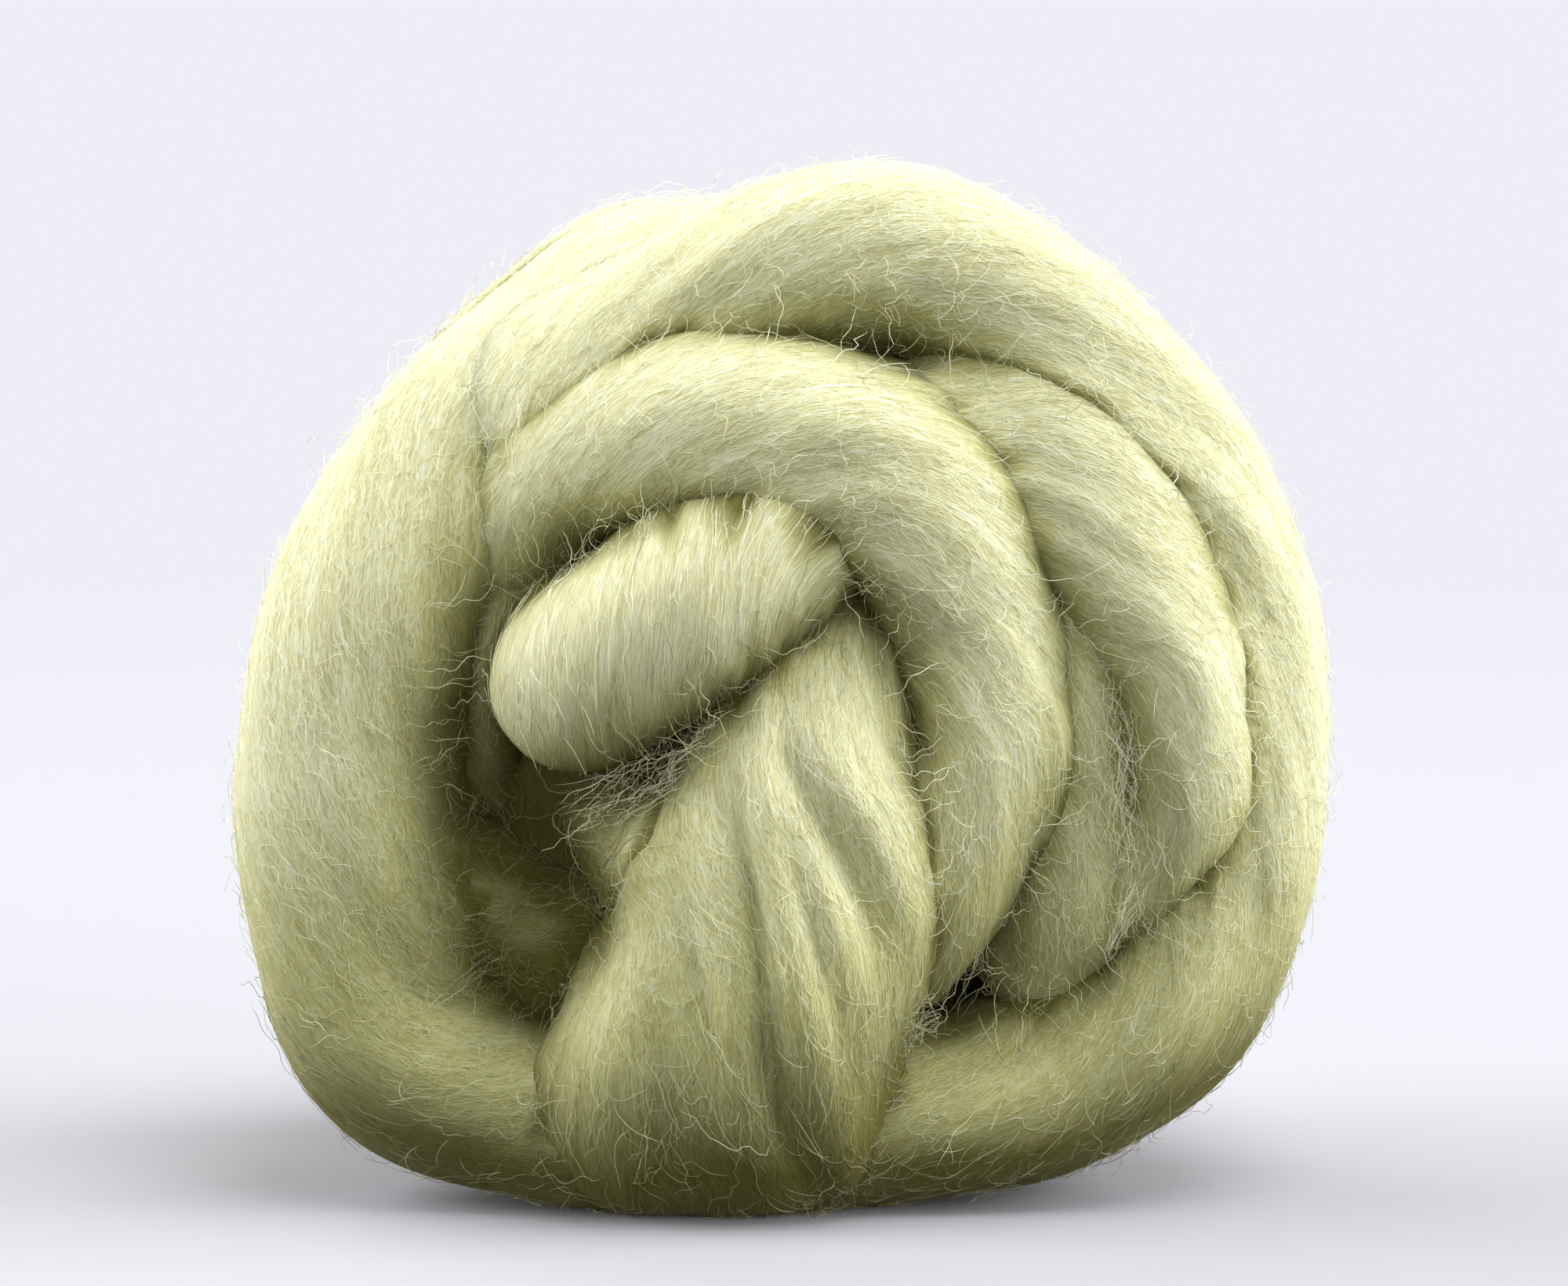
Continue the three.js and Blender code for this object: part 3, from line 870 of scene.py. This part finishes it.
def skin_material():
    """Combed wool: fine fibres that cross at small angles, in colour and in relief, with painted shade that
    darkens it in the creases.
    """
    material = bpy.data.materials.new("wool_skin")
    tree = new_tree(material)
    crimp = crimp_of(tree)
    layers = []
    for index, scale in enumerate([(5200, 5200, 150), (3600, 3600, 110), (4400, 4400, 170)], start=1):
        layers.append(noise_of(tree, scaled(tree, combing_of(tree, index, crimp), scale), 2))
    fibres = math_of(tree, "MAXIMUM", math_of(tree, "MAXIMUM", layers[0], layers[1]), layers[2])
    locks = noise_of(tree, scaled(tree, combing_of(tree, 2, crimp), (520, 520, 38)), 3)
    height = math_of(tree, "MULTIPLY_ADD", locks, 0.15, fibres)
    # the height lies between 0.5 and 0.85 nearly everywhere
    open_colour = ramp_of(tree, height, [(0.54, WOOL_DEEP), (0.80, WOOL_LIGHT), (0.67, WOOL_MID)])
    bump = add_node(tree, "Bump", {"Strength": 0.65, "Distance": 0.0009, "Height": height})
    shader = add_node(tree, "BsdfPrincipled", {
        "Base Color": with_painted_shade(tree, open_colour),
        "Normal": bump.outputs["Normal"],
        "Roughness": 0.9,
        "Specular IOR Level": 0.05,
        "Sheen Weight": 0.15,
        "Sheen Roughness": 0.5,
        "Sheen Tint": (1.0, 0.98, 0.6, 1),
        "Subsurface Weight": 0.3,
        "Subsurface Radius": (1.0, 0.95, 0.55),
        "Subsurface Scale": 0.002,
    })
    add_node(tree, "OutputMaterial", {"Surface": shader.outputs["BSDF"]})
    return material


def fibre_material():
    """Single wool fibres: paler than the mass, a little glossy, with a painted glow and painted shade."""
    material = bpy.data.materials.new("wool_fibre")
    tree = new_tree(material)
    fibre = add_node(tree, "NewGeometry").outputs["Random Per Island"]
    colour = with_painted_shade(tree, ramp_of(tree, fibre, [(0.0, FIBRE_DEEP), (1.0, FIBRE_LIGHT)]))
    shader = add_node(tree, "BsdfPrincipled", {
        "Base Color": colour,
        # painted glow: the fibres give off light in their own colour
        "Emission Color": colour,
        "Emission Strength": FIBRE_PAINTED_GLOW,
        "Roughness": 0.35,
        "Specular IOR Level": 0.8,
        "Sheen Weight": 0.8,
        "Sheen Tint": (1.0, 0.99, 0.8, 1),
    })
    add_node(tree, "OutputMaterial", {"Surface": shader.outputs["BSDF"]})
    return material


# ---------------------------------------------------------------------------------------------
# The ball
# ---------------------------------------------------------------------------------------------
def make_strands():
    # shade sets how much painted shade each stretch takes: more in the hollows and on the bun, less on two
    # stretches at the right
    return [
        Strand("long_turns", OUTER_TURN + LEFT_TURN + back_coil(), seed=1),
        Strand("outer_arc", OUTER_ARC, twist_length=120, shade=0.75, seed=2),
        Strand("inner_fold", INNER_FOLD, twist_length=120, shade=0.55, seed=3),
        Strand("inner_arc", INNER_ARC, twist_length=135, seed=4),
        Strand("tongue", TONGUE, twist_length=200, level=True, pleats=0.4, seed=5),
        Strand("bun", BUN, twist_length=45, locks=0.12, shade=1.2, seed=6),
        Strand("hollow_lobe", HOLLOW_LOBE, twist_length=90, tip=1.8, shade=1.7, seed=7),
        Strand("hollow_turn", HOLLOW_TURN, twist_length=150, shade=1.5, seed=8),
        Strand("hollow_lining", HOLLOW_LINING, twist_length=150, seed=9),
    ]


def make_heart(material):
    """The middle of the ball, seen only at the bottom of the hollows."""
    rings, lanes = 24, 48
    polar = np.linspace(0.04, math.pi - 0.04, rings)[:, None]
    azimuth = np.arange(lanes)[None, :] / lanes * 2 * math.pi
    flat = np.sin(polar)
    ball = np.stack([flat * np.cos(azimuth), flat * np.sin(azimuth), np.cos(polar) + 0 * azimuth], axis=-1)
    lumps = 1 + 0.05 * smooth_noise(ball * 4)[..., None]
    points = np.array(HEART["centre"]) + ball * np.array(HEART["half"]) * lumps
    points = np.vstack([points.reshape(-1, 3), points[0].mean(0), points[-1].mean(0)])
    # its rings run downwards, so the faces are turned over
    faces = [np.roll(group[:, ::-1], 1, axis=1) for group in tube_faces(rings, lanes)]
    # painted shade: the whole heart takes the deepest shade
    dress(build_mesh("heart", points, faces, [points] * 3, np.ones(len(points))), material)


def make_skins(strands, material):
    tree = tree_of(strands)
    for strand in strands:
        # painted shade: the shelter, scaled by the strand's shade and lessened at the soft joins
        strand.shelter = np.clip(shelter_of(strand, tree) * strand.shade * (1 - strand.light), 0, 1)
        spaces = [strand.with_ends(space) + COMBING_SHIFT * strand.seed for space in strand.combings]
        points, shelter = strand.with_ends(strand.points), strand.with_ends(strand.shelter)
        dress(build_mesh(strand.name, points, strand.faces(), spaces, shelter), material)


# How each kind of fibre is made, and how many of them lie on the ball
SCATTERED = {"combed_fibres": (combed, 5200), "stray_fibres": (strays, 5000), "fuzz": (fuzz, 8200)}
BRIDGE_COUNT = 1100
PIECE_TRIANGLES = 190000    # the most that one piece of fibres may have


def make_fibres(strands, material):
    rng = np.random.default_rng(11)
    batches = {"bridging_fibres": bridges(strands, rng, BRIDGE_COUNT), "tangled_fibres": tangles(rng)}
    batches["wisps"] = wisps(rng)
    area = np.array([strand.shown_area for strand in strands])
    shares = area / area.sum()
    for name, (make, count) in SCATTERED.items():
        made = [make(strand, rng, round(count * share)) for strand, share in zip(strands, shares)]
        batches[name] = tuple(np.concatenate(values) for values in zip(*made))
    for name, batch in batches.items():
        paths = batch[0]
        paths[..., 2] = np.maximum(paths[..., 2], FIBRE_CLEARANCE)
        # each fibre has six triangles for every ring between its ends
        pieces = math.ceil(len(paths) * 6 * (paths.shape[1] - 2) / PIECE_TRIANGLES)
        for i, parts in enumerate(zip(*(np.array_split(values, pieces) for values in batch))):
            dress(fibre_mesh(f"{name}_{i + 1}", *parts), material)


def make_ball():
    skin, fibre = skin_material(), fibre_material()
    strands = make_strands()
    neighbours = Neighbours(strands)
    for strand in strands:
        at = np.broadcast_to(strand.at[:, None], strand.points.shape[:2])
        gap = neighbours.distance(strand.points.reshape(-1, 3), at.ravel(), strand.seed)
        strand.gap = gap.reshape(at.shape)
        strand.fill_creases()
        strand.shown_area = float((strand.gap > BURIED).mean()) * strand.length * strand.radius
    make_skins(strands, skin)
    make_heart(skin)
    make_fibres(strands, fibre)


# ---------------------------------------------------------------------------------------------
# Stage: floor, light and camera
# ---------------------------------------------------------------------------------------------
# Soft lights from afar: degrees anticlockwise from the camera's side, degrees up, and strength
LIGHTS = {
    "front": (0, 8, 0.07),
    "front_right": (50, 22, 0.28),
    "right": (90, 8, 0.62),
    "right_high": (90, 38, 0.5),
    "back_right": (135, 8, 0.25),
    "back": (180, 10, 0.26),
    "back_left": (225, 8, 0.3),
    "back_left_high": (225, 38, 0.3),
    "left": (270, 8, 0.48),
    "left_high": (270, 38, 0.42),
    "front_left": (315, 8, 0.14),
    "top": (50, 72, 0.52),
}
LIGHT_SPREAD = math.radians(35)
AROUND = (0.23, 0.23, 0.21, 1)
BACKDROP = (0.86, 0.855, 0.93, 1)
FLOOR = (0.475, 0.472, 0.519, 1)
GLOW_FROM, GLOW_TO = 0.25, 1.1    # metres from the ball's foot
CAMERA_ELEVATION = math.radians(5)
CAMERA_DISTANCE = 0.5
CAMERA_TARGET = Vector((0, 0, 0.068))
LENS = 90


def floor_material():
    """A dull floor that gives way to the backdrop's own light, from GLOW_FROM to GLOW_TO."""
    material = bpy.data.materials.new("floor")
    tree = new_tree(material)
    dull = {"Base Color": FLOOR, "Roughness": 0.95, "Specular IOR Level": 0.0}
    shader = add_node(tree, "BsdfPrincipled", dull)
    glow = add_node(tree, "Emission", {"Color": BACKDROP})
    place = add_node(tree, "NewGeometry").outputs["Position"]
    away = add_node(tree, "VectorMath", {0: place}, operation="LENGTH").outputs["Value"]
    reach = {"Value": away, "From Min": GLOW_FROM, "From Max": GLOW_TO}
    share = add_node(tree, "MapRange", reach, interpolation_type="SMOOTHSTEP").outputs["Result"]
    mix = add_node(tree, "MixShader", {"Fac": share, 1: shader.outputs[0], 2: glow.outputs[0]})
    add_node(tree, "OutputMaterial", {"Surface": mix.outputs[0]})
    return material


def make_floor():
    """A floor that turns up into a round wall far off."""
    flat, corner, top, lanes = 1.2, 1.0, 3.0, 96
    turns = np.linspace(0, math.pi / 2, 16)
    bend = [(flat + corner * math.sin(turn), corner - corner * math.cos(turn)) for turn in turns]
    profile = [(radius, 0.0) for radius in np.linspace(0.2, 1.0, 5) * flat][:-1]
    profile += bend + [(flat + corner, top)]
    points, faces = [(0.0, 0.0, 0.0)], []
    for radius, height in profile:
        for turn in np.arange(lanes) * 2 * math.pi / lanes:
            points.append((radius * math.cos(turn), radius * math.sin(turn), height))
    for lane in range(lanes):
        after = (lane + 1) % lanes
        faces.append((0, 1 + lane, 1 + after))
        for ring in range(len(profile) - 1):
            inner, outer = 1 + ring * lanes, 1 + (ring + 1) * lanes
            faces.append((inner + lane, outer + lane, outer + after, inner + after))
    mesh = bpy.data.meshes.new("floor")
    mesh.from_pydata(points, [], faces)
    mesh.polygons.foreach_set("use_smooth", [True] * len(faces))
    mesh.materials.append(floor_material())
    floor = bpy.data.objects.new("floor", mesh)
    bpy.context.scene.collection.objects.link(floor)
    floor.visible_diffuse = False
    floor.visible_glossy = False
    floor.visible_shadow = False


def make_lights():
    for name, (azimuth, elevation, strength) in LIGHTS.items():
        around, up = math.radians(azimuth), math.radians(elevation)
        towards = Vector((math.sin(around) * math.cos(up), -math.cos(around) * math.cos(up), math.sin(up)))
        data = bpy.data.lights.new(name, "SUN")
        data.angle = LIGHT_SPREAD
        data.energy = strength * math.pi
        light = bpy.data.objects.new(name, data)
        light.rotation_euler = towards.to_track_quat("Z", "Y").to_euler()
        bpy.context.scene.collection.objects.link(light)


def make_world():
    """A little light from all round above the floor, and a pale backdrop where the camera sees it."""
    world = bpy.data.worlds.new("studio")
    bpy.context.scene.world = world
    tree = new_tree(world)
    direction = add_node(tree, "TexCoord").outputs["Generated"]
    height = add_node(tree, "SeparateXYZ", {0: direction}).outputs["Z"]
    horizon = {"Value": height, "From Min": -0.25, "From Max": 0.25, "To Min": 0.05}
    above = add_node(tree, "MapRange", horizon).outputs["Result"]
    lit = add_node(tree, "Background", {"Color": AROUND, "Strength": above})
    seen = add_node(tree, "Background", {"Color": BACKDROP})
    by_camera = add_node(tree, "LightPath").outputs["Is Camera Ray"]
    mix = add_node(tree, "MixShader", {"Fac": by_camera, 1: lit.outputs[0], 2: seen.outputs[0]})
    add_node(tree, "OutputWorld", {"Surface": mix.outputs[0]})


def make_camera():
    data = bpy.data.cameras.new("camera")
    data.lens = LENS
    data.sensor_width = 36
    data.clip_start = 0.01
    camera = bpy.data.objects.new("camera", data)
    offset = Vector((0, -math.cos(CAMERA_ELEVATION), math.sin(CAMERA_ELEVATION)))
    camera.location = CAMERA_TARGET + offset * CAMERA_DISTANCE
    camera.rotation_euler = (math.pi / 2 - CAMERA_ELEVATION, 0, 0)
    bpy.context.scene.collection.objects.link(camera)
    bpy.context.scene.camera = camera


make_ball()
make_floor()
make_lights()
make_world()
make_camera()
bpy.context.scene.view_settings.view_transform = "Standard"
